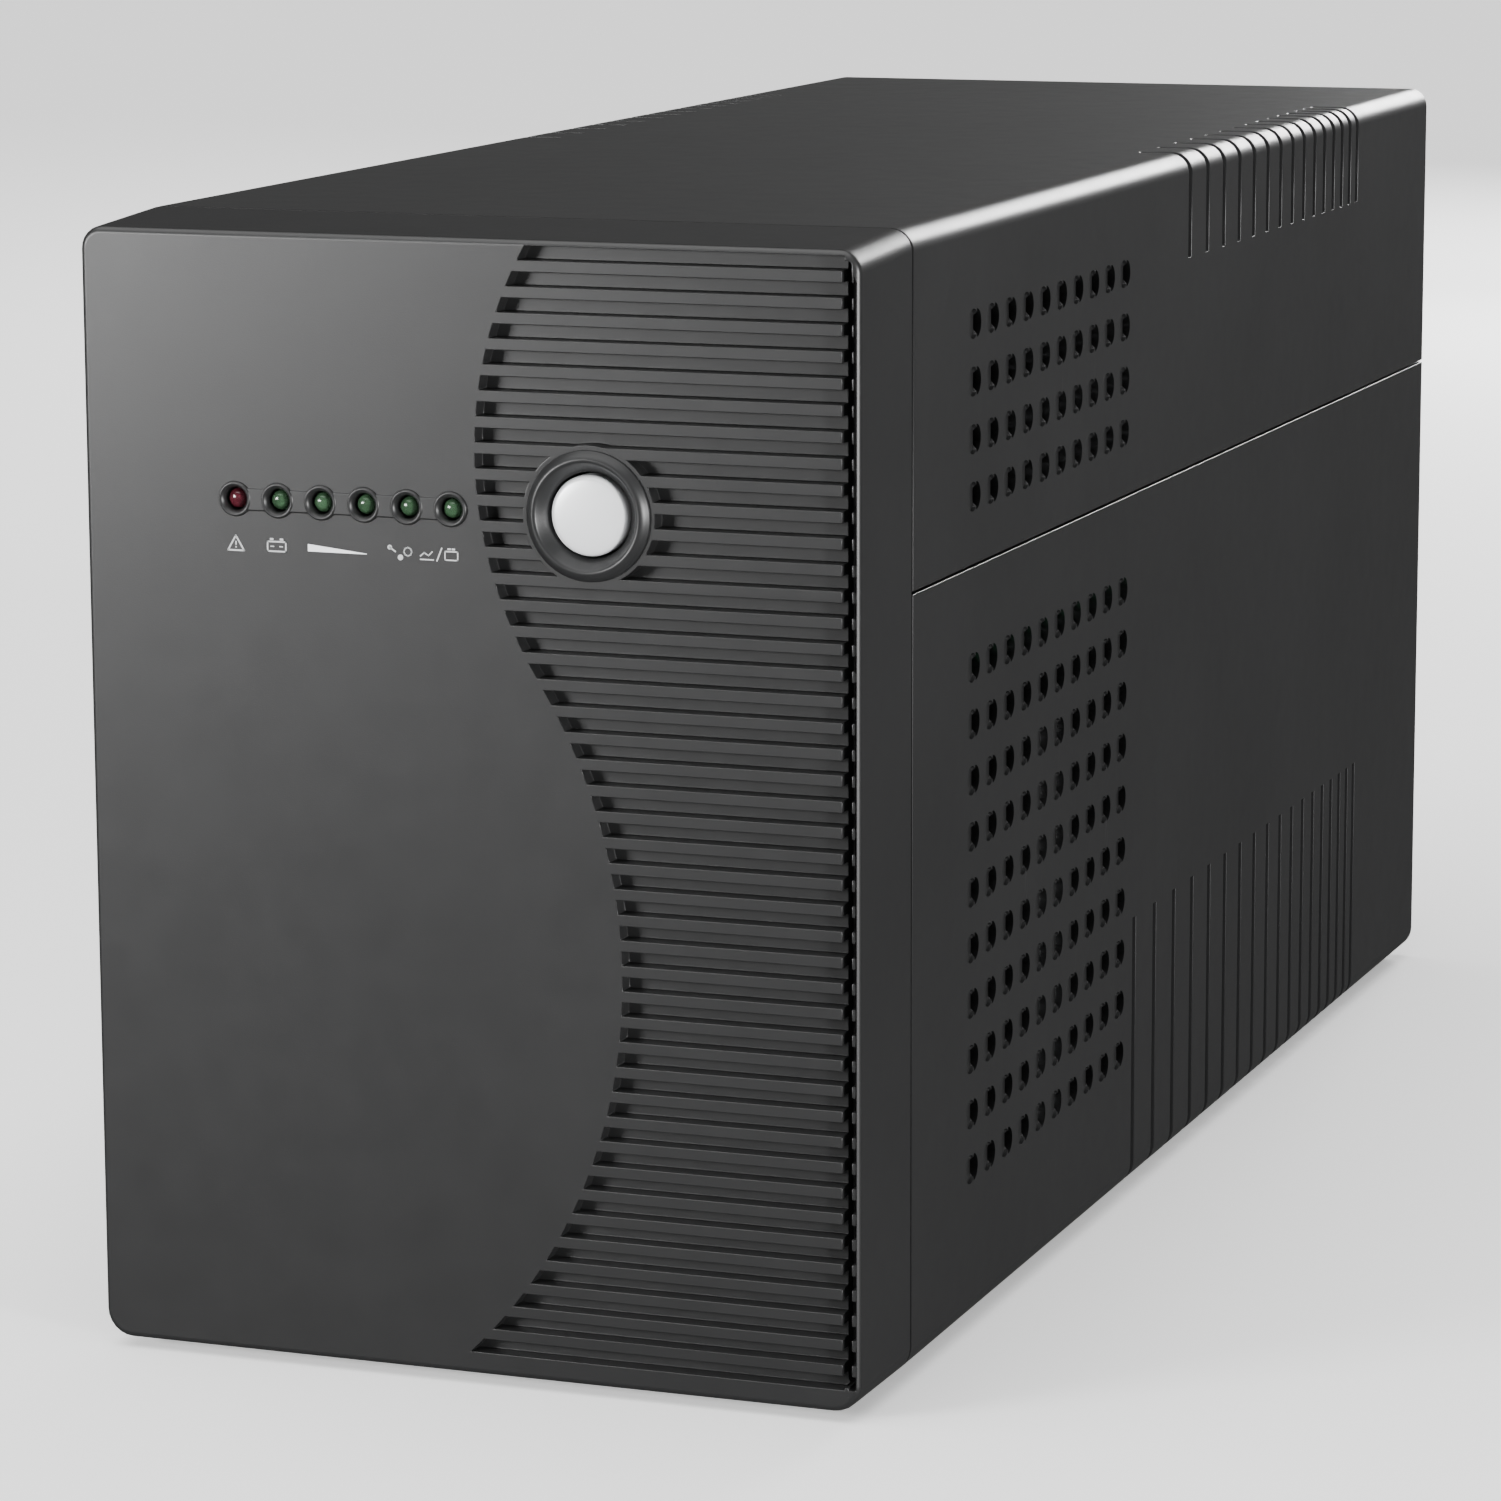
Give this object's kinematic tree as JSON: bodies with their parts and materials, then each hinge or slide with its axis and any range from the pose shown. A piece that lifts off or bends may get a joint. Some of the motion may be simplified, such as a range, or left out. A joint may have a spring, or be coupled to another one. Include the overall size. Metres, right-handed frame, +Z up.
{
  "type": "uninterruptible power supply",
  "caption": "Low black tower UPS with a louvred front, a row of indicators, a round push button, vented casings and rear sockets.",
  "frame": {"origin": "middle of the footprint, on the surface that the feet stand on", "axes": "+Z up, the front faces -Y, +X to the right seen from the front"},
  "size_m": [0.146, 0.397, 0.205],
  "materials": {
    "casing_plastic": "satin black moulded plastic with a fine grain",
    "ring_plastic": "semi-gloss black",
    "silver_cap": "silver painted, satin",
    "red_lens": "tinted, unlit",
    "green_lens": "tinted, unlit",
    "foot_rubber": "matt",
    "steel": "bright zinc",
    "panel_paint": "satin black powder coat",
    "socket_plastic": "satin black",
    "battery_case": "dark grey, moulded",
    "brass": "tinned brass",
    "core_lacquer": "varnished laminations",
    "winding": "copper winding under amber tape",
    "circuit_board": "green solder resist",
    "aluminium": "extruded",
    "black_wire": "insulated",
    "red_wire": "insulated",
    "relay_case": "blue moulded cover",
    "can_sleeve": "sleeved aluminium can"
  },
  "bodies": {
    "housing": {"upper_casing": "casing_plastic", "lower_casing": "casing_plastic", "front_bezel": "casing_plastic", "rear_panel": "panel_paint", "foot_front_left": "foot_rubber", "foot_front_right": "foot_rubber", "foot_rear_left": "foot_rubber", "foot_rear_right": "foot_rubber", "panel_screw_1": "steel", "panel_screw_2": "steel", "panel_screw_3": "steel", "panel_screw_4": "steel", "button_ring": "ring_plastic", "button_spring": "steel", "button_switch": "socket_plastic", "control_board": "circuit_board", "indicator_lens_1": "red_lens", "indicator_lens_2": "green_lens", "indicator_lens_3": "green_lens", "indicator_lens_4": "green_lens", "indicator_lens_5": "green_lens", "indicator_lens_6": "green_lens", "mains_inlet": "socket_plastic", "outlet_1": "socket_plastic", "outlet_2": "socket_plastic", "outlet_3": "socket_plastic", "outlet_4": "socket_plastic", "outlet_5": "socket_plastic", "outlet_6": "socket_plastic", "circuit_breaker": "socket_plastic", "data_ports": "socket_plastic", "usb_port": "steel", "fan_frame": "socket_plastic", "fan_guard": "steel", "battery_1": "battery_case", "battery_2": "battery_case", "battery_terminal_1": "brass", "battery_terminal_2": "brass", "battery_terminal_3": "brass", "battery_terminal_4": "brass", "battery_strap": "steel", "battery_link_lead": "black_wire", "negative_lead": "black_wire", "positive_lead": "red_wire", "transformer_core": "core_lacquer", "transformer_coil": "winding", "transformer_bracket": "steel", "main_board": "circuit_board", "heat_sink_left": "aluminium", "heat_sink_right": "aluminium", "relay_1": "relay_case", "relay_2": "relay_case", "relay_3": "relay_case", "capacitor_1": "can_sleeve", "capacitor_2": "can_sleeve"},
    "button": {"power_button": "silver_cap"},
    "fan": {"fan_rotor": "socket_plastic"},
    "breaker": {"breaker_button": "silver_cap"}
  },
  "joints": [
    {"name": "button_press", "type": "slide", "parent": "housing", "child": "button", "axis": [0, 1, 0], "range_m": [0, 0.002], "stiffness_N_per_m": 300, "springref_m": -0.003, "deforming": ["button_spring"]},
    {"name": "fan_spin", "type": "hinge", "parent": "housing", "child": "fan", "pos_m": [-0.02, 0.18, 0.15], "axis": [0, 1, 0], "continuous": true},
    {"name": "breaker_pop", "type": "slide", "parent": "housing", "child": "breaker", "axis": [0, 1, 0], "range_m": [0, 0.004]}
  ]
}
